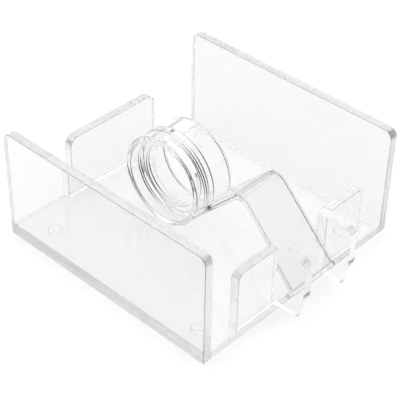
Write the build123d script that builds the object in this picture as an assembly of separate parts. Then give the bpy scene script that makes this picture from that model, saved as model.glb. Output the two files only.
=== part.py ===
from build123d import *
import os

# Clear acrylic tray whose front ears carry a hinged lever with a ring at its far end.
# Millimetres. X runs to the right, Y to the back and Z up.
# The pieces are drawn in the tray's own frame: X = 0 midway between the side walls,
# Y = 0 at the base's front edge and Z = 0 at the base's underside.
# They are moved once, at export, so that the origin is at the middle of the footprint
# of the whole object, on the surface it stands on.

# Tray sheets
SHEET = 5.0
TRAY_WIDTH = 137.0
TRAY_DEPTH = 135.0
WALL_HEIGHT = 63.0
WALL_CORNER_R = 5.0

# Back panel, standing on the base
BACK_PANEL_WIDTH = 61.0
BACK_PANEL_TOP = 41.0
BACK_PANEL_CORNER_R = 6.0

# Front panels, standing on the base outside the hinge ears
FRONT_TOP = 40.0
FRONT_PANEL_WIDTH = 27.0
FRONT_PANEL_CORNER_R = 5.0

# Hinge ears, on the inner ends of the front panels
EAR_GAP = 28.4
EAR_REACH = 16.5
EAR_FRONT_CORNER_R = 6.0
EAR_REAR_CORNER_R = 1.5

# Hinge rod and its holes
PIN_DIAMETER = 2.5
PIN_HOLE_DIAMETER = 2.6
PIN_Y = -7.7
PIN_Z = 14.9
PIN_END_CHAMFER = 0.25

# Lever: a thin sheet that climbs at 45 degrees from the rod, bends 90 degrees and
# comes down at 45 degrees onto the ring. Its end wraps the rod to the seat's depth.
LEVER_SHEET = 3.0
LEVER_WIDTH = 27.2
LEVER_BEND_INNER_R = 5.0
LEVER_SEAT_DEPTH = 0.5
BACK_SLOPE_TO_RING_AXIS = 20.7

# Ring: two lengths of tube with an annular plate between them
TUBE_OUTER_R = 25.0
TUBE_WALL = 3.0
RING_Y = 82.8
RING_REST_GAP = 0.2
RING_LEFT_LENGTH = 7.0
RING_DIVIDER_THICKNESS = 5.0
RING_RIGHT_LENGTH = 13.0
RING_DIVIDER_HOLE_R = 17.5

# Stick-on bumper feet, domed, with a small flat that stands on the table
FOOT_R = 4.0
FOOT_FLAT_R = 1.6
FOOT_RIM = 0.5
FOOT_HEIGHT = 2.0
FOOT_DOME_R = 5.5
FRONT_FOOT_INSET_X = 17.4
FRONT_FOOT_Y = 17.0
BACK_FOOT_INSET_X = 18.7
BACK_FOOT_Y = 119.2

# Derived positions
HALF_WIDTH = TRAY_WIDTH / 2
INNER_HALF_WIDTH = HALF_WIDTH - SHEET
EAR_OUTER_X = EAR_GAP / 2 + SHEET
RING_Z = SHEET + RING_REST_GAP + TUBE_OUTER_R
RING_LENGTH = RING_LEFT_LENGTH + RING_DIVIDER_THICKNESS + RING_RIGHT_LENGTH
RING_LEFT_X = -RING_LENGTH / 2
DIVIDER_X = RING_LEFT_X + RING_LEFT_LENGTH
RING_RIGHT_X = DIVIDER_X + RING_DIVIDER_THICKNESS
ORIGIN_Y = (TRAY_DEPTH - EAR_REACH) / 2
TO_OBJECT_FRAME = Location((0, -ORIGIN_Y, FOOT_HEIGHT))

# Directions of the lever's two slopes in the side view, as (Y, Z)
UPHILL = Vector(1, 1).normalized()
DOWNHILL = Vector(1, -1).normalized()


def extrude_along_x(outline, x_start, length):
    """Solid of constant section: outline is a sketch in (Y, Z), drawn from x_start towards +X."""
    plane = Plane(origin=(x_start, 0, 0), x_dir=(0, 1, 0), z_dir=(1, 0, 0))
    return extrude(plane * outline, amount=length)


def extrude_along_y(outline, y_start, length):
    """Solid of constant section: outline is a sketch in (X, Z), drawn from y_start towards +Y."""
    plane = Plane(origin=(0, y_start, 0), x_dir=(1, 0, 0), z_dir=(0, -1, 0))
    return extrude(plane * outline, amount=-length)


def rectangle_between(low, high):
    """Rectangle sketch from its low corner to its high corner."""
    width = high[0] - low[0]
    height = high[1] - low[1]
    return Pos(low[0] + width / 2, low[1] + height / 2) * Rectangle(width, height)


def corners_at(sketch, points, tolerance=0.01):
    """The sketch's vertices that lie at the given points."""
    found = []
    for vertex in sketch.vertices():
        for point in points:
            if abs(vertex.X - point[0]) < tolerance and abs(vertex.Y - point[1]) < tolerance:
                found.append(vertex)
    return found


def make_base_plate():
    outline = rectangle_between((-INNER_HALF_WIDTH, 0), (INNER_HALF_WIDTH, SHEET))
    return extrude_along_y(outline, 0, TRAY_DEPTH)


def make_wall(x_start):
    """Side wall with rounded top corners; it covers the base's side edge."""
    outline = rectangle_between((0, 0), (TRAY_DEPTH, WALL_HEIGHT))
    top_corners = corners_at(outline, [(0, WALL_HEIGHT), (TRAY_DEPTH, WALL_HEIGHT)])
    outline = fillet(top_corners, WALL_CORNER_R)
    return extrude_along_x(outline, x_start, SHEET)


def make_back_panel():
    half = BACK_PANEL_WIDTH / 2
    outline = rectangle_between((-half, SHEET), (half, BACK_PANEL_TOP))
    top_corners = corners_at(outline, [(-half, BACK_PANEL_TOP), (half, BACK_PANEL_TOP)])
    outline = fillet(top_corners, BACK_PANEL_CORNER_R)
    return extrude_along_y(outline, TRAY_DEPTH - SHEET, SHEET)


def make_front_panel(side):
    """Front panel on one side: side is -1 for left and +1 for right."""
    inner_x = side * EAR_OUTER_X
    outer_x = side * (EAR_OUTER_X + FRONT_PANEL_WIDTH)
    outline = rectangle_between((min(inner_x, outer_x), SHEET), (max(inner_x, outer_x), FRONT_TOP))
    outline = fillet(corners_at(outline, [(outer_x, FRONT_TOP)]), FRONT_PANEL_CORNER_R)
    return extrude_along_y(outline, 0, SHEET)


def make_hinge_ear(side):
    """Ear with the rod's hole: side is -1 for left and +1 for right."""
    outline = rectangle_between((-EAR_REACH, SHEET), (SHEET, FRONT_TOP))
    front_corners = corners_at(outline, [(-EAR_REACH, SHEET), (-EAR_REACH, FRONT_TOP)])
    outline = fillet(front_corners, EAR_FRONT_CORNER_R)
    outline = fillet(corners_at(outline, [(SHEET, FRONT_TOP)]), EAR_REAR_CORNER_R)
    outline -= Pos(PIN_Y, PIN_Z) * Circle(PIN_HOLE_DIAMETER / 2)
    inner_x = side * EAR_GAP / 2
    outer_x = side * EAR_OUTER_X
    return extrude_along_x(outline, min(inner_x, outer_x), SHEET)


def make_hinge_pin():
    """Rod that runs from one ear's outer face to the other's."""
    outline = Pos(PIN_Y, PIN_Z) * Circle(PIN_DIAMETER / 2)
    rod = extrude_along_x(outline, -EAR_OUTER_X, 2 * EAR_OUTER_X)
    end_rims = rod.edges().filter_by(GeomType.CIRCLE)
    return chamfer(end_rims, PIN_END_CHAMFER)


def lever_outline():
    """Side view of the bent sheet, before the rod and the ring are cut out of its ends.

    The two slopes are at right angles. The back slope is drawn down to where it is abreast
    of the ring's axis, which is inside the ring's outline.
    """
    pin = Vector(PIN_Y, PIN_Z)
    ring = Vector(RING_Y, RING_Z)
    start = pin + UPHILL * (PIN_DIAMETER / 2 - LEVER_SEAT_DEPTH)
    outer_start = start - DOWNHILL * LEVER_SHEET / 2
    inner_start = start + DOWNHILL * LEVER_SHEET / 2
    outer_end = ring - UPHILL * BACK_SLOPE_TO_RING_AXIS
    inner_end = outer_end - UPHILL * LEVER_SHEET
    outer_apex = outer_start + UPHILL * (outer_end - outer_start).dot(UPHILL)
    inner_apex = outer_apex + (DOWNHILL - UPHILL) * LEVER_SHEET
    points = [outer_start, outer_apex, outer_end, inner_end, inner_apex, inner_start]
    outline = Sketch() + make_face(Polyline(*[(p.X, p.Y) for p in points], close=True))
    outer_corner = corners_at(outline, [(outer_apex.X, outer_apex.Y)])
    outline = fillet(outer_corner, LEVER_BEND_INNER_R + LEVER_SHEET)
    inner_corner = corners_at(outline, [(inner_apex.X, inner_apex.Y)])
    return fillet(inner_corner, LEVER_BEND_INNER_R)


def make_lever_plate():
    """Bent sheet; one end is seated on the rod and the other on the ring's outside."""
    outline = lever_outline()
    outline -= Pos(PIN_Y, PIN_Z) * Circle(PIN_DIAMETER / 2)
    outline -= Pos(RING_Y, RING_Z) * Circle(TUBE_OUTER_R)
    return extrude_along_x(outline, -LEVER_WIDTH / 2, LEVER_WIDTH)


def make_ring_piece(x_start, length, hole_radius):
    """Tube length or annular plate, centred on the ring's axis."""
    outline = Circle(TUBE_OUTER_R) - Circle(hole_radius)
    return extrude_along_x(Pos(RING_Y, RING_Z) * outline, x_start, length)


def make_foot(x, y):
    """Domed bumper under the base: a short rim, then a dome that ends in a small flat."""
    dome = RadiusArc((FOOT_R, -FOOT_RIM), (FOOT_FLAT_R, -FOOT_HEIGHT), FOOT_DOME_R)
    sides = Polyline((FOOT_FLAT_R, -FOOT_HEIGHT), (0, -FOOT_HEIGHT), (0, 0), (FOOT_R, 0), (FOOT_R, -FOOT_RIM))
    section = Plane.XZ * make_face(dome + sides)
    return Pos(x, y, 0) * revolve(section, Axis.Z)


def make_feet():
    feet = {}
    for side_name, side in (("left", -1), ("right", 1)):
        front_x = side * (HALF_WIDTH - FRONT_FOOT_INSET_X)
        back_x = side * (HALF_WIDTH - BACK_FOOT_INSET_X)
        feet[f"foot_front_{side_name}"] = make_foot(front_x, FRONT_FOOT_Y)
        feet[f"foot_back_{side_name}"] = make_foot(back_x, BACK_FOOT_Y)
    return feet


def make_parts():
    parts = {
        "base_plate": make_base_plate(),
        "left_wall": make_wall(-HALF_WIDTH),
        "right_wall": make_wall(INNER_HALF_WIDTH),
        "back_panel": make_back_panel(),
        "hinge_pin": make_hinge_pin(),
        "lever_plate": make_lever_plate(),
        "ring_left_tube": make_ring_piece(RING_LEFT_X, RING_LEFT_LENGTH, TUBE_OUTER_R - TUBE_WALL),
        "ring_divider": make_ring_piece(DIVIDER_X, RING_DIVIDER_THICKNESS, RING_DIVIDER_HOLE_R),
        "ring_right_tube": make_ring_piece(RING_RIGHT_X, RING_RIGHT_LENGTH, TUBE_OUTER_R - TUBE_WALL),
    }
    for side_name, side in (("left", -1), ("right", 1)):
        parts[f"front_{side_name}_panel"] = make_front_panel(side)
        parts[f"{side_name}_hinge_ear"] = make_hinge_ear(side)
    parts.update(make_feet())
    return parts


os.makedirs("parts", exist_ok=True)
for node, shape in make_parts().items():
    export_step(TO_OBJECT_FRAME * shape, f"parts/{node}.step")
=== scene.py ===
import math

import bmesh
import bpy
from mathutils import Matrix, Vector


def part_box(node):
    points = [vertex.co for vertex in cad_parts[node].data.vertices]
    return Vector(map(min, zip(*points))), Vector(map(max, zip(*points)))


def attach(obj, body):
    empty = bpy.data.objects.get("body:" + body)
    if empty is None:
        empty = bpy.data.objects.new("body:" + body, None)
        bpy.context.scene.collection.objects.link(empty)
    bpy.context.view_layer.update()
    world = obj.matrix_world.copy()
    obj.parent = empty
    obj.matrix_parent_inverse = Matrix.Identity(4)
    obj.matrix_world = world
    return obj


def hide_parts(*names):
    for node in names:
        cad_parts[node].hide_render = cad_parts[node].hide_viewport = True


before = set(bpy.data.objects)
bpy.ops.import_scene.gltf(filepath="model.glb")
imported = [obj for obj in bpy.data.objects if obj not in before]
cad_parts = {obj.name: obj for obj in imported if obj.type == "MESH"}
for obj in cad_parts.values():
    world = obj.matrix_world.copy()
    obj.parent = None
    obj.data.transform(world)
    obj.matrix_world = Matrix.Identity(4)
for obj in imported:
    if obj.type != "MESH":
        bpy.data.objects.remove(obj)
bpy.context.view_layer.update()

# Clear acrylic tray with a hinged lever and ring. Metres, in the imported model's frame:
# X to the right, Y to the back, Z up, with the feet standing on Z = 0.
MM = 0.001


def axis_of(node):
    """Where the axis of a round piece crosses the (Y, Z) plane."""
    low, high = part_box(node)
    return Vector(((low.y + high.y) / 2, (low.z + high.z) / 2))


def radius_of(node):
    low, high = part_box(node)
    return (high.z - low.z) / 2


PIN_CENTRE = axis_of("hinge_pin")
PIN_R = radius_of("hinge_pin")
RING_CENTRE = axis_of("ring_divider")
RING_R = radius_of("ring_divider")

# Every piece is drawn a hair inside its CAD solid, which leaves the cement line between glued pieces.
CEMENT_GAP = 0.02 * MM

# How far the edges are rounded over
EDGE_ROUND = 0.35 * MM
BASE_EDGE_ROUND = 0.08 * MM
ROD_END_ROUND = 0.3 * MM

# How finely the curves are divided
ROUND_STEPS = 3
ARC_STEPS = 10
RING_SEAT_STEPS = 4
HOLE_STEPS = 40
FOOT_STEPS = 48
DOME_STEPS = 8
TURN_STEPS = 144

# Edges sharper than these are rounded over, and left sharp by the smooth shading.
ROUNDED_ANGLE = math.radians(40)
SHARP_ANGLE = math.radians(50)

# A face looks along an axis if its normal has more than this much of it.
LOOKS_ALONG = 0.9

# Corner radii of the cut sheets
WALL_CORNER_R = 5 * MM
BACK_PANEL_CORNER_R = 6 * MM
FRONT_PANEL_CORNER_R = 5 * MM
EAR_FRONT_CORNER_R = 6 * MM
EAR_REAR_CORNER_R = 1.5 * MM

# The rod's hole in each ear. No other edge of the ear is within HOLE_REACH of its centre.
PIN_HOLE_R = 1.3 * MM
HOLE_REACH = 4 * MM

# Lever sheet: two slopes at 45 degrees with a bend between them
LEVER_SHEET = 3 * MM
LEVER_BEND_INNER_R = 5 * MM
LEVER_SEAT_DEPTH = 0.5 * MM
BACK_SLOPE_TO_RING_AXIS = 20.7 * MM
UPHILL = Vector((1, 1)).normalized()
DOWNHILL = Vector((1, -1)).normalized()

# Ring
TUBE_INNER_R = 22 * MM
DIVIDER_HOLE_R = 17.5 * MM

# Feet
FOOT_FLAT_R = 1.6 * MM
FOOT_RIM = 0.5 * MM

# Plastics, and the grey that turns down the polished faces' mirror reflections, most of all
# where a face is seen square on
ACRYLIC_IOR = 1.49
URETHANE_IOR = 1.47
FACE_MIRROR = 0.3

# Scales of the noise textures: the higher, the finer
SMEAR_SCALE = 30
PATCH_SCALE = 45
WAVE_SCALE = 60
TOOLING_SCALE = 500
SKIN_SCALE = 700
STRIATION_SCALE = 900

# Ranges for remapping: where most of a noise texture's values lie, and a plain fraction
NOISE_SPAN = (0.3, 0.7)
NONE_TO_ALL = (0, 1)

# Wear on the polished faces: the noise values over which each kind fades in
SMEAR_FADE = (0.45, 0.75)
SMEAR_ROUGHNESS = 0.05
SCRATCH_FADE = (0.72, 0.76)
SCRATCH_STRETCH = 0.04
PATCH_FADE = (0.52, 0.62)

# Stretches of the noise that draw the striations of a cut edge along one axis
ALONG_X = (0.05, 1, 1)
ALONG_Y = (1, 0.05, 1)
ALONG_Z = (1, 1, 0.05)

# Painted reflections: the ring's rims are greyed, and darker on two opposite arcs whose middles are at
# this angle about the axis.
# They fade in with the cosine of the angle from there.
RIM_SHADE = 0.8
RIM_CLEARNESS = 0.88
PAINTED_REFLECTION_ANGLE = math.radians(-30)
PAINTED_REFLECTION_FADE = (0.68, 0.97)

# The order of a cut sheet's materials. Turned pieces have the first two.
FACE_INDEX = 0
EDGE_INDEX = 1
ARRIS_INDEX = 2
SPECIAL_INDEX = 3

# Studio. The dark cards fade in as a ray turns to the left or right (the X of its direction),
# and out as it rises (the Z).
TENT_LEVEL = 1.23
CARD_LEVEL = 0.03
CARD_SIDE = (0.45, 0.65)
CARD_TOP = (0.16, 0.22)
FLOOR_HALF_SIZE = 6
FLOOR_DROP = 0.05 * MM
LIGHT_BOUNCES = 32

# Camera
CAMERA_PLACE = Vector((-368.8, -333.0, 418.1)) * MM
CAMERA_AZIMUTH = math.radians(-47.22)
CAMERA_ELEVATION = math.radians(38.25)
CAMERA_ROLL = math.radians(1.16)
CAMERA_LENS = 113.7


# ---------------------------------------------------------------- shader nodes

def new_material(name):
    material = bpy.data.materials.new(name)
    material.use_nodes = True
    tree = material.node_tree
    shader = tree.nodes["Principled BSDF"]
    return material, tree, shader


def plastic(name, shade, clearness, ior=ACRYLIC_IOR):
    """Grey-tinted plastic, where clearness is the share of the light that goes through."""
    material, tree, shader = new_material(name)
    shader.inputs["Base Color"].default_value = (shade, shade, shade, 1)
    shader.inputs["Transmission Weight"].default_value = clearness
    shader.inputs["IOR"].default_value = ior
    return material, tree, shader


def object_coordinates(tree, scale=(1, 1, 1), rotation=(0, 0, 0), shift=(0, 0, 0)):
    """Object coordinates in metres, scaled, then turned, then shifted."""
    coordinates = tree.nodes.new("ShaderNodeTexCoord")
    mapping = tree.nodes.new("ShaderNodeMapping")
    mapping.inputs["Scale"].default_value = scale
    mapping.inputs["Rotation"].default_value = rotation
    mapping.inputs["Location"].default_value = shift
    tree.links.new(coordinates.outputs["Object"], mapping.inputs["Vector"])
    return mapping.outputs["Vector"]


def noise_over(tree, coordinates, scale, detail):
    texture = tree.nodes.new("ShaderNodeTexNoise")
    texture.inputs["Scale"].default_value = scale
    texture.inputs["Detail"].default_value = detail
    tree.links.new(coordinates, texture.inputs["Vector"])
    return texture.outputs["Fac"]


def noise_texture(tree, scale, detail=2.0, stretch=(1, 1, 1)):
    return noise_over(tree, object_coordinates(tree, stretch), scale, detail)


def remap(tree, value, source, target):
    """Value taken from the source range to the target range, and held at the target's ends."""
    node = tree.nodes.new("ShaderNodeMapRange")
    node.inputs["From Min"].default_value = source[0]
    node.inputs["From Max"].default_value = source[1]
    node.inputs["To Min"].default_value = target[0]
    node.inputs["To Max"].default_value = target[1]
    tree.links.new(value, node.inputs["Value"])
    return node.outputs["Result"]


def combine(tree, operation, first, second):
    node = tree.nodes.new("ShaderNodeMath")
    node.operation = operation
    tree.links.new(first, node.inputs[0])
    tree.links.new(second, node.inputs[1])
    return node.outputs["Value"]


def absolute(tree, value):
    node = tree.nodes.new("ShaderNodeMath")
    node.operation = "ABSOLUTE"
    tree.links.new(value, node.inputs[0])
    return node.outputs["Value"]


def roughen(tree, shader, texture, smoothest, roughest):
    roughness = remap(tree, texture, NOISE_SPAN, (smoothest, roughest))
    tree.links.new(roughness, shader.inputs["Roughness"])


def emboss(tree, shader, height, strength, distance):
    node = tree.nodes.new("ShaderNodeBump")
    node.inputs["Strength"].default_value = strength
    node.inputs["Distance"].default_value = distance
    tree.links.new(height, node.inputs["Height"])
    tree.links.new(node.outputs["Normal"], shader.inputs["Normal"])


# ---------------------------------------------------------------- materials

def hairline_scratches(tree, angle, density, roughness):
    """Thin straight scratches at one angle, broken up by a soft mask: 0 between the scratches."""
    scale = (density, density * SCRATCH_STRETCH, density)
    rotation = (angle, angle * 0.7, angle * 1.3)
    lines = noise_over(tree, object_coordinates(tree, scale, rotation), 1.0, 0.0)
    thin = remap(tree, lines, SCRATCH_FADE, NONE_TO_ALL)
    patches = remap(tree, noise_texture(tree, PATCH_SCALE, 1.0), PATCH_FADE, NONE_TO_ALL)
    return remap(tree, combine(tree, "MULTIPLY", thin, patches), NONE_TO_ALL, (0, roughness))


def polished_sheet(name, shade):
    """Clear face of cast sheet: glassy and faintly wavy, its gloss broken by smears and scratches."""
    material, tree, shader = plastic(name, shade, 1.0)
    shader.inputs["Specular Tint"].default_value = (FACE_MIRROR, FACE_MIRROR, FACE_MIRROR, 1)
    smears = remap(tree, noise_texture(tree, SMEAR_SCALE, 3.0), SMEAR_FADE, (0, SMEAR_ROUGHNESS))
    scratches = hairline_scratches(tree, angle=0.6, density=900, roughness=0.22)
    more_scratches = hairline_scratches(tree, angle=2.1, density=700, roughness=0.18)
    wear = combine(tree, "ADD", smears, combine(tree, "MAXIMUM", scratches, more_scratches))
    tree.links.new(wear, shader.inputs["Roughness"])
    emboss(tree, shader, noise_texture(tree, WAVE_SCALE, 1.0), strength=0.05, distance=0.1 * MM)
    return material


def cut_edge(name, shade, stretch, clearness=1.0):
    """Laser-cut, flame-polished edge: a little duller than the faces, with fine striations."""
    material, tree, shader = plastic(name, shade, clearness)
    striations = noise_texture(tree, STRIATION_SCALE, stretch=stretch)
    roughen(tree, shader, striations, 0.12, 0.24)
    emboss(tree, shader, striations, strength=0.04, distance=0.05 * MM)
    return material


def painted_dark_edge(name, shade, clearness, smoothest=0.03, roughest=0.12):
    """Arris or drilled wall: greyer than the faces and only partly clear, which is painted shade."""
    material, tree, shader = plastic(name, shade, clearness)
    roughen(tree, shader, noise_texture(tree, TOOLING_SCALE), smoothest, roughest)
    return material


def rim_with_painted_reflections(name, reflection_shade, reflection_clearness):
    """Rims of the ring with painted reflections: greyed, and darker and less clear on two opposite
    arcs than on the rest.
    """
    material, tree, shader = plastic(name, RIM_SHADE, RIM_CLEARNESS)
    from_axis = object_coordinates(tree, scale=(0, 1, 1), shift=(0, -RING_CENTRE.x, -RING_CENTRE.y))
    outward = tree.nodes.new("ShaderNodeVectorMath")
    outward.operation = "NORMALIZE"
    tree.links.new(from_axis, outward.inputs[0])
    along = tree.nodes.new("ShaderNodeVectorMath")
    along.operation = "DOT_PRODUCT"
    along.inputs[1].default_value = (0, math.cos(PAINTED_REFLECTION_ANGLE), math.sin(PAINTED_REFLECTION_ANGLE))
    tree.links.new(outward.outputs["Vector"], along.inputs[0])
    # Mask of the two arcs that carry the painted reflections
    arc = remap(tree, absolute(tree, along.outputs["Value"]), PAINTED_REFLECTION_FADE, NONE_TO_ALL)
    shade = remap(tree, arc, NONE_TO_ALL, (RIM_SHADE, reflection_shade))
    clearness = remap(tree, arc, NONE_TO_ALL, (RIM_CLEARNESS, reflection_clearness))
    tree.links.new(shade, shader.inputs["Base Color"])
    tree.links.new(clearness, shader.inputs["Transmission Weight"])
    roughen(tree, shader, noise_texture(tree, TOOLING_SCALE), 0.02, 0.08)
    return material


def bumper_urethane():
    """Soft clear polyurethane: slightly cloudy, with a fine moulded skin."""
    material, tree, shader = plastic("bumper_urethane", 0.98, 0.97, URETHANE_IOR)
    skin = noise_texture(tree, SKIN_SCALE, 3.0)
    roughen(tree, shader, skin, 0.03, 0.1)
    emboss(tree, shader, skin, strength=0.2, distance=0.05 * MM)
    return material


# Polished faces. Their greys are partly the sheet's own tint and partly painted shade, set lighter or
# darker piece by piece to how light falls on each.
UPRIGHT_FACE = polished_sheet("upright_sheet_face", 0.885)
LEFT_WALL_FACE = polished_sheet("left_wall_face", 0.915)
PANEL_FACE = polished_sheet("panel_sheet_face", 0.97)
BASE_FACE = polished_sheet("base_sheet_face", 0.975)
LEVER_FACE = polished_sheet("lever_sheet_face", 1.0)
TUBE_FACE = polished_sheet("tube_face", 0.97)
ROD_FACE = polished_sheet("rod_face", 0.95)

# Edges. The greyer and less clear ones carry painted shade.
BASE_EDGE = cut_edge("base_edge_painted_shade", 0.93, ALONG_Z, 0.97)
WALL_END_EDGE = cut_edge("wall_end_edge_painted_shade", 0.82, ALONG_X, 0.93)
EDGE_ALONG_X = cut_edge("cut_edge_across_painted_shade", 0.9, ALONG_X)
EDGE_ALONG_Y = cut_edge("cut_edge_level_painted_shade", 0.9, ALONG_Y)
PALE_EDGE_ALONG_X = cut_edge("pale_edge_across", 1.0, ALONG_X)
PALE_EDGE_ALONG_Y = cut_edge("pale_edge_level", 1.0, ALONG_Y)

# Arrises, the drilled holes and the ring's rims, whose greys are painted shade and painted reflections
ARRIS = painted_dark_edge("arris_painted_shade", 0.62, 0.85)
LEVER_ARRIS = painted_dark_edge("lever_arris_painted_shade", 0.3, 0.65)
# The near-black right arris is a painted dark reflection.
LEVER_RIGHT_ARRIS = painted_dark_edge("lever_right_arris_painted_reflection", 0.02, 0.1)
# The dark drilled holes are painted shade in the recess.
HOLE_WALL = painted_dark_edge("drilled_hole_painted_shade", 0.3, 0.6, 0.1, 0.3)
# Painted reflections: darker on the left tube and the divider than on the right tube
NEAR_RIM = rim_with_painted_reflections("near_rim_painted_reflections", 0.01, 0.25)
FAR_RIM = rim_with_painted_reflections("far_rim_painted_reflections", 0.15, 0.6)

BUMPER = bumper_urethane()


# ---------------------------------------------------------------- outlines

def circle_points(centre, radius, steps):
    points = []
    for i in range(steps):
        angle = 2 * math.pi * i / steps
        points.append(centre + radius * Vector((math.cos(angle), math.sin(angle))))
    return points


def arc_points(centre, start, end, steps):
    """Points from start to end round centre, the shorter way."""
    first = math.atan2(start.y - centre.y, start.x - centre.x)
    turn = math.atan2(end.y - centre.y, end.x - centre.x) - first
    turn = (turn + math.pi) % (2 * math.pi) - math.pi
    radius = (start - centre).length
    points = []
    for i in range(steps + 1):
        angle = first + turn * i / steps
        points.append(centre + radius * Vector((math.cos(angle), math.sin(angle))))
    return points


def rounded(corners, steps=ARC_STEPS):
    """Outline through corners, given as (point, radius), with each corner rounded to its radius."""
    outline = []
    for i, (corner, radius) in enumerate(corners):
        before = corners[i - 1][0]
        after = corners[(i + 1) % len(corners)][0]
        if radius == 0:
            outline.append(corner)
            continue
        back = (before - corner).normalized()
        ahead = (after - corner).normalized()
        half_angle = back.angle(ahead) / 2
        reach = radius / math.tan(half_angle)
        centre = corner + (back + ahead).normalized() * (radius / math.sin(half_angle))
        outline += arc_points(centre, corner + back * reach, corner + ahead * reach, steps)
    return outline


def corner_list(low, high, radii):
    """A rectangle's corners, from the low one round by way of the first axis, each with its radius."""
    points = [(low[0], low[1]), (high[0], low[1]), (high[0], high[1]), (low[0], high[1])]
    return [(Vector(p), r) for p, r in zip(points, radii)]


# ---------------------------------------------------------------- meshes

def inset_box(node):
    """A node's CAD box, drawn in by the cement gap."""
    low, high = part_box(node)
    gap = Vector((CEMENT_GAP,) * 3)
    return low + gap, high - gap


def finished_mesh(bm):
    """Mesh from a closed bmesh, with its normals pointing out."""
    bmesh.ops.recalc_face_normals(bm, faces=bm.faces)
    if bm.calc_volume(signed=True) < 0:
        bmesh.ops.reverse_faces(bm, faces=bm.faces)
    mesh = bpy.data.meshes.new("mesh")
    bm.to_mesh(mesh)
    bm.free()
    return mesh


def add_piece(name, mesh, node, body, materials):
    """Piece that stands for node and rides on body, shaded smooth but with optically flat faces."""
    mesh.name = name
    piece = bpy.data.objects.new(name, mesh)
    bpy.context.scene.collection.objects.link(piece)
    for material in materials:
        mesh.materials.append(material)
    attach(piece, body)
    mesh.polygons.foreach_set("use_smooth", [True] * len(mesh.polygons))
    mesh.set_sharp_from_angle(angle=SHARP_ANGLE)
    normals = piece.modifiers.new("flat_faces", "WEIGHTED_NORMAL")
    normals.weight = 100
    normals.keep_sharp = True
    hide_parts(node)


def fill_outline(bm, outline, hole):
    """Flat face at height 0, with the hole left open if there is one."""
    loops = [outline] if hole is None else [outline, hole]
    rim_edges = []
    for loop in loops:
        verts = [bm.verts.new((p.x, p.y, 0)) for p in loop]
        for i, vert in enumerate(verts):
            rim_edges.append(bm.edges.new((vert, verts[(i + 1) % len(verts)])))
    if hole is None:
        bm.faces.new(list(bm.verts))
    else:
        bmesh.ops.triangle_fill(bm, edges=rim_edges, use_beauty=True)


def cut_sheet(outline, to_space, thickness, hole=None, edge_round=EDGE_ROUND):
    """Mesh of a flat sheet, whose arrises are rounded over and have their own material.

    outline and hole are lists of 2-D points, and to_space turns (u, v, w) into a point, where w
    runs through the thickness.
    """
    bm = bmesh.new()
    fill_outline(bm, outline, hole)
    raised = bmesh.ops.extrude_face_region(bm, geom=list(bm.faces))["geom"]
    top_verts = [g for g in raised if isinstance(g, bmesh.types.BMVert)]
    bmesh.ops.translate(bm, verts=top_verts, vec=(0, 0, thickness))
    bmesh.ops.recalc_face_normals(bm, faces=bm.faces)
    for face in bm.faces:
        face.material_index = FACE_INDEX if abs(face.normal.z) > LOOKS_ALONG else EDGE_INDEX
    sharp = [e for e in bm.edges if len(e.link_faces) == 2 and e.calc_face_angle() > ROUNDED_ANGLE]
    bmesh.ops.bevel(
        bm, geom=sharp, offset=edge_round, segments=ROUND_STEPS, profile=0.5,
        affect="EDGES", clamp_overlap=True, material=ARRIS_INDEX,
    )
    for vert in bm.verts:
        vert.co = to_space(*vert.co)
    return finished_mesh(bm)


def sheet_across_x(node, outline, is_special, hole=None):
    """Mesh of a sheet whose faces look along X; outline and hole are in (Y, Z).

    The faces for which is_special(face) is true take the fourth material.
    """
    low, high = inset_box(node)
    mesh = cut_sheet(outline, lambda u, v, w: (low.x + w, u, v), high.x - low.x, hole)
    for face in mesh.polygons:
        if is_special(face):
            face.material_index = SPECIAL_INDEX
    return mesh


def turned(profile, centre, rim_steps, capped=False):
    """Mesh of a solid of revolution about an axis along X, through centre in (Y, Z).

    profile is a list of (x, radius): a closed section, or if capped an open one whose two ends
    are filled in. The caps and the profile's rim_steps take the edge's material.
    """
    bm = bmesh.new()
    rows = []
    for i in range(TURN_STEPS):
        angle = 2 * math.pi * i / TURN_STEPS
        row = []
        for x, radius in profile:
            y = centre.x + radius * math.cos(angle)
            z = centre.y + radius * math.sin(angle)
            row.append(bm.verts.new((x, y, z)))
        rows.append(row)
    steps = len(profile) - 1 if capped else len(profile)
    for i in range(TURN_STEPS):
        here = rows[i]
        there = rows[(i + 1) % TURN_STEPS]
        for k in range(steps):
            m = (k + 1) % len(profile)
            face = bm.faces.new((here[k], here[m], there[m], there[k]))
            face.material_index = EDGE_INDEX if k in rim_steps else FACE_INDEX
    if capped:
        for k in (0, len(profile) - 1):
            face = bm.faces.new([row[k] for row in rows])
            face.material_index = EDGE_INDEX
    return finished_mesh(bm)


# ---------------------------------------------------------------- tray

def make_base():
    low, high = inset_box("base_plate")
    outline = rounded(corner_list((low.x, low.y), (high.x, high.y), (0, 0, 0, 0)))
    thickness = high.z - low.z
    mesh = cut_sheet(outline, lambda u, v, w: (u, v, low.z + w), thickness, edge_round=BASE_EDGE_ROUND)
    add_piece("base_sheet", mesh, "base_plate", "tray", [BASE_FACE, BASE_EDGE, ARRIS])


def is_end_edge(face):
    """Whether a wall's face is one of its upright edges, at the front and the back."""
    return face.material_index == EDGE_INDEX and abs(face.normal.y) > LOOKS_ALONG


def make_walls():
    radii = (0, 0, WALL_CORNER_R, WALL_CORNER_R)
    for node, face in (("left_wall", LEFT_WALL_FACE), ("right_wall", UPRIGHT_FACE)):
        low, high = inset_box(node)
        outline = rounded(corner_list((low.y, low.z), (high.y, high.z), radii))
        mesh = sheet_across_x(node, outline, is_end_edge)
        materials = [face, EDGE_ALONG_X, ARRIS, WALL_END_EDGE]
        add_piece(f"{node}_sheet", mesh, node, "tray", materials)


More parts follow.
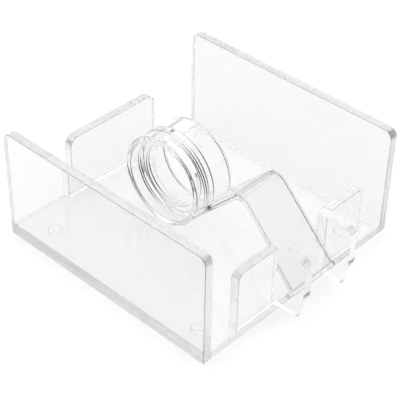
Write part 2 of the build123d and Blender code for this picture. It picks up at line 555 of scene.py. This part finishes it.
def make_panels():
    for node, left_radius, right_radius, face, edge in (
        ("back_panel", BACK_PANEL_CORNER_R, BACK_PANEL_CORNER_R, UPRIGHT_FACE, EDGE_ALONG_Y),
        ("front_left_panel", FRONT_PANEL_CORNER_R, 0, PANEL_FACE, EDGE_ALONG_Y),
        ("front_right_panel", 0, FRONT_PANEL_CORNER_R, PANEL_FACE, PALE_EDGE_ALONG_Y),
    ):
        low, high = inset_box(node)
        radii = (0, 0, right_radius, left_radius)
        outline = rounded(corner_list((low.x, low.z), (high.x, high.z), radii))
        mesh = cut_sheet(outline, lambda u, v, w: (u, low.y + w, v), high.y - low.y)
        add_piece(f"{node}_sheet", mesh, node, "tray", [face, edge, ARRIS])


def is_hole_wall(face):
    from_pin = (face.center.yz - PIN_CENTRE).length
    return face.material_index == EDGE_INDEX and from_pin < HOLE_REACH


def make_ears():
    radii = (EAR_FRONT_CORNER_R, 0, EAR_REAR_CORNER_R, EAR_FRONT_CORNER_R)
    hole = circle_points(PIN_CENTRE, PIN_HOLE_R, HOLE_STEPS)
    for node, edge in (("left_hinge_ear", EDGE_ALONG_X), ("right_hinge_ear", PALE_EDGE_ALONG_X)):
        low, high = inset_box(node)
        outline = rounded(corner_list((low.y, low.z), (high.y, high.z), radii))
        mesh = sheet_across_x(node, outline, is_hole_wall, hole)
        materials = [PANEL_FACE, edge, ARRIS, HOLE_WALL]
        add_piece(f"{node}_sheet", mesh, node, "tray", materials)


def foot_section(low, high):
    """Side view of a foot as (radius, z): a short rim, then a dome that ends in a small flat."""
    radius = (high.x - low.x) / 2
    rim_z = high.z - FOOT_RIM
    rise = rim_z - low.z
    dome_z = rim_z + (radius ** 2 - FOOT_FLAT_R ** 2 - rise ** 2) / (2 * rise)
    dome_r = math.hypot(radius, dome_z - rim_z)
    section = [(radius - EDGE_ROUND, high.z), (radius, high.z - EDGE_ROUND)]
    for i in range(DOME_STEPS + 1):
        z = rim_z + (low.z - rim_z) * i / DOME_STEPS
        section.append((math.sqrt(dome_r ** 2 - (dome_z - z) ** 2), z))
    return section


def make_feet():
    for node in ("foot_front_left", "foot_front_right", "foot_back_left", "foot_back_right"):
        low, high = inset_box(node)
        section = foot_section(low, high)
        centre = Vector(((low.x + high.x) / 2, (low.y + high.y) / 2))
        bm = bmesh.new()
        rows = []
        for direction in circle_points(Vector((0, 0)), 1, FOOT_STEPS):
            rows.append([bm.verts.new((*(centre + direction * r), z)) for r, z in section])
        for i, row in enumerate(rows):
            there = rows[(i + 1) % FOOT_STEPS]
            for k in range(len(section) - 1):
                bm.faces.new((row[k], row[k + 1], there[k + 1], there[k]))
        bm.faces.new([row[0] for row in rows])
        bm.faces.new([row[-1] for row in rows])
        add_piece(f"{node}_bumper", finished_mesh(bm), node, "tray", [BUMPER])


# ---------------------------------------------------------------- lever

def lever_outline():
    """Side view of the bent sheet in (Y, Z), with its seats on the rod and on the ring."""
    ring_r = RING_R + CEMENT_GAP
    start = PIN_CENTRE + UPHILL * (PIN_R - LEVER_SEAT_DEPTH)
    outer_start = start - DOWNHILL * LEVER_SHEET / 2
    inner_start = start + DOWNHILL * LEVER_SHEET / 2
    outer_line = RING_CENTRE - UPHILL * BACK_SLOPE_TO_RING_AXIS
    inner_line = outer_line - UPHILL * LEVER_SHEET
    outer_apex = outer_start + UPHILL * (outer_line - outer_start).dot(UPHILL)
    inner_apex = outer_apex + (DOWNHILL - UPHILL) * LEVER_SHEET
    outer_reach = math.sqrt(ring_r ** 2 - (outer_line - RING_CENTRE).length ** 2)
    inner_reach = math.sqrt(ring_r ** 2 - (inner_line - RING_CENTRE).length ** 2)
    outer_foot = outer_line - DOWNHILL * outer_reach
    inner_foot = inner_line - DOWNHILL * inner_reach
    ring_seat = arc_points(RING_CENTRE, outer_foot, inner_foot, RING_SEAT_STEPS)
    seat_half = math.sqrt((PIN_R + CEMENT_GAP) ** 2 - (PIN_R - LEVER_SEAT_DEPTH) ** 2)
    seat_start = start + DOWNHILL * seat_half
    seat_end = start - DOWNHILL * seat_half
    rod_seat = arc_points(PIN_CENTRE, seat_start, seat_end, ARC_STEPS)
    bent = rounded([
        (outer_start, 0),
        (outer_apex, LEVER_BEND_INNER_R + LEVER_SHEET),
        (outer_foot, 0),
        (inner_foot, 0),
        (inner_apex, LEVER_BEND_INNER_R),
        (inner_start, 0),
    ])
    i = bent.index(outer_foot)
    return bent[:i] + ring_seat + bent[i + 2:] + rod_seat


# Faces that take the lever's painted dark reflection
def is_right_arris(face):
    return face.material_index == ARRIS_INDEX and face.center.x > 0


def make_lever():
    mesh = sheet_across_x("lever_plate", lever_outline(), is_right_arris)
    materials = [LEVER_FACE, EDGE_ALONG_X, LEVER_ARRIS, LEVER_RIGHT_ARRIS]
    add_piece("lever_sheet_bent", mesh, "lever_plate", "lever", materials)


def make_ring():
    for node, hole_r, slot, rim in (
        ("ring_left_tube", TUBE_INNER_R, "tube", NEAR_RIM),
        ("ring_divider", DIVIDER_HOLE_R, "ring_plate", NEAR_RIM),
        ("ring_right_tube", TUBE_INNER_R, "tube", FAR_RIM),
    ):
        low, high = inset_box(node)
        inner_r = hole_r + CEMENT_GAP
        outer_r = (high.z - low.z) / 2
        corners = corner_list((low.x, inner_r), (high.x, outer_r), (EDGE_ROUND,) * 4)
        profile = rounded(corners, ROUND_STEPS)
        # each corner's arc is rim, and the step from it to the next corner is face
        rim_steps = {k for k in range(len(profile)) if k % (ROUND_STEPS + 1) != ROUND_STEPS}
        mesh = turned(profile, RING_CENTRE, rim_steps)
        add_piece(f"{node}_turned", mesh, node, "lever", [TUBE_FACE, rim])


def make_pin():
    """Clear rod with small rounded ends."""
    low, high = inset_box("hinge_pin")
    radius = (high.z - low.z) / 2
    cap_r = radius - ROD_END_ROUND
    left_x = low.x + ROD_END_ROUND
    right_x = high.x - ROD_END_ROUND
    left_cap = Vector((low.x, cap_r))
    right_cap = Vector((high.x, cap_r))
    left = arc_points(Vector((left_x, cap_r)), left_cap, Vector((left_x, radius)), ROUND_STEPS)
    right = arc_points(Vector((right_x, cap_r)), Vector((right_x, radius)), right_cap, ROUND_STEPS)
    mesh = turned(left + right, PIN_CENTRE, set(), capped=True)
    add_piece("hinge_rod", mesh, "hinge_pin", "lever", [ROD_FACE, ARRIS])


make_base()
make_walls()
make_panels()
make_ears()
make_lever()
make_ring()
make_pin()
make_feet()


# ---------------------------------------------------------------- studio

def make_floor():
    bm = bmesh.new()
    bmesh.ops.create_grid(bm, x_segments=1, y_segments=1, size=FLOOR_HALF_SIZE)
    mesh = bpy.data.meshes.new("floor")
    bm.to_mesh(mesh)
    bm.free()
    floor = bpy.data.objects.new("floor", mesh)
    bpy.context.scene.collection.objects.link(floor)
    floor.location.z = -FLOOR_DROP
    material, _, shader = new_material("floor_paper")
    shader.inputs["Base Color"].default_value = (0.9, 0.9, 0.9, 1)
    shader.inputs["Roughness"].default_value = 0.9
    shader.inputs["Specular IOR Level"].default_value = 0.1
    mesh.materials.append(material)


def make_world():
    """White studio tent with a low dark card on each side, which draws the lines in the glass."""
    world = bpy.data.worlds.new("studio")
    bpy.context.scene.world = world
    world.use_nodes = True
    tree = world.node_tree
    background = tree.nodes["Background"]
    background.inputs["Color"].default_value = (1, 1, 1, 1)
    coordinates = tree.nodes.new("ShaderNodeTexCoord")
    split = tree.nodes.new("ShaderNodeSeparateXYZ")
    tree.links.new(coordinates.outputs["Generated"], split.inputs["Vector"])
    beside = remap(tree, absolute(tree, split.outputs["X"]), CARD_SIDE, NONE_TO_ALL)
    below = remap(tree, split.outputs["Z"], CARD_TOP, (1, 0))
    card = combine(tree, "MULTIPLY", beside, below)
    level = remap(tree, card, NONE_TO_ALL, (TENT_LEVEL, CARD_LEVEL))
    tree.links.new(level, background.inputs["Strength"])


def make_camera():
    """Long lens from the front left, above the tray."""
    data = bpy.data.cameras.new("camera")
    camera = bpy.data.objects.new("camera", data)
    bpy.context.scene.collection.objects.link(camera)
    back = Vector((
        math.sin(CAMERA_AZIMUTH) * math.cos(CAMERA_ELEVATION),
        -math.cos(CAMERA_AZIMUTH) * math.cos(CAMERA_ELEVATION),
        math.sin(CAMERA_ELEVATION),
    ))
    turn = (-back).to_track_quat("-Z", "Y")
    camera.location = CAMERA_PLACE
    camera.rotation_mode = "QUATERNION"
    camera.rotation_quaternion = turn @ Matrix.Rotation(CAMERA_ROLL, 3, "Z").to_quaternion()
    data.sensor_width = 36
    data.lens = CAMERA_LENS
    data.clip_start = 0.01
    data.clip_end = 20
    bpy.context.scene.camera = camera


def set_light_paths():
    """Many bounces for light piped along the sheets, and no blur on glass seen by way of the floor."""
    cycles = bpy.context.scene.cycles
    cycles.max_bounces = LIGHT_BOUNCES
    cycles.glossy_bounces = LIGHT_BOUNCES
    cycles.transmission_bounces = LIGHT_BOUNCES
    cycles.blur_glossy = 0


make_floor()
make_world()
make_camera()
set_light_paths()
bpy.context.scene.view_settings.view_transform = "Standard"
